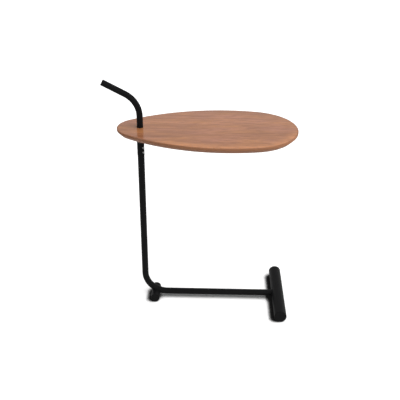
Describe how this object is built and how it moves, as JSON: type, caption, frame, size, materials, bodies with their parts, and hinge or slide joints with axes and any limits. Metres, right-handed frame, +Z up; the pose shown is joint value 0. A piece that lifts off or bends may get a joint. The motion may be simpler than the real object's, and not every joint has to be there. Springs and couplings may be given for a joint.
{
  "type": "c shaped side table",
  "caption": "C shaped side table: egg-shaped wooden top on a black bent steel tube with a cane-like grip, sliding in a post that bends into a floor bar between cross feet.",
  "frame": {"origin": "on the floor, under the middle of the overall box", "axes": "+X along the floor bar from the post to the front foot, +Y across it to the far side, +Z up the post"},
  "size_m": [0.556, 0.293, 0.7244],
  "materials": {
    "veneered_wood": "lacquered, satin",
    "black_steel": "powder coated, matt",
    "black_plastic": "moulded, matt",
    "bright_steel": "zinc plated"
  },
  "bodies": {
    "base_frame": {"post_tube": "black_steel", "lock_collar": "black_steel", "lock_screws": "bright_steel", "front_foot_tube": "black_steel", "front_foot_cap_near": "black_plastic", "front_foot_cap_far": "black_plastic", "front_glides": "black_plastic", "rear_foot_tube": "black_steel", "rear_foot_cap_near": "black_plastic", "rear_foot_cap_far": "black_plastic", "rear_glides": "black_plastic"},
    "top_and_handle": {"table_top": "veneered_wood", "top_flange": "black_steel", "flange_wood_screws": "bright_steel", "flange_grub_screws": "bright_steel", "handle_tube": "black_steel", "handle_end_plug": "black_plastic", "tube_guide": "black_plastic"}
  },
  "joints": [
    {"name": "height_slide", "type": "slide", "parent": "base_frame", "child": "top_and_handle", "axis": [0, 0, 1], "range_m": [0, 0.14]}
  ]
}
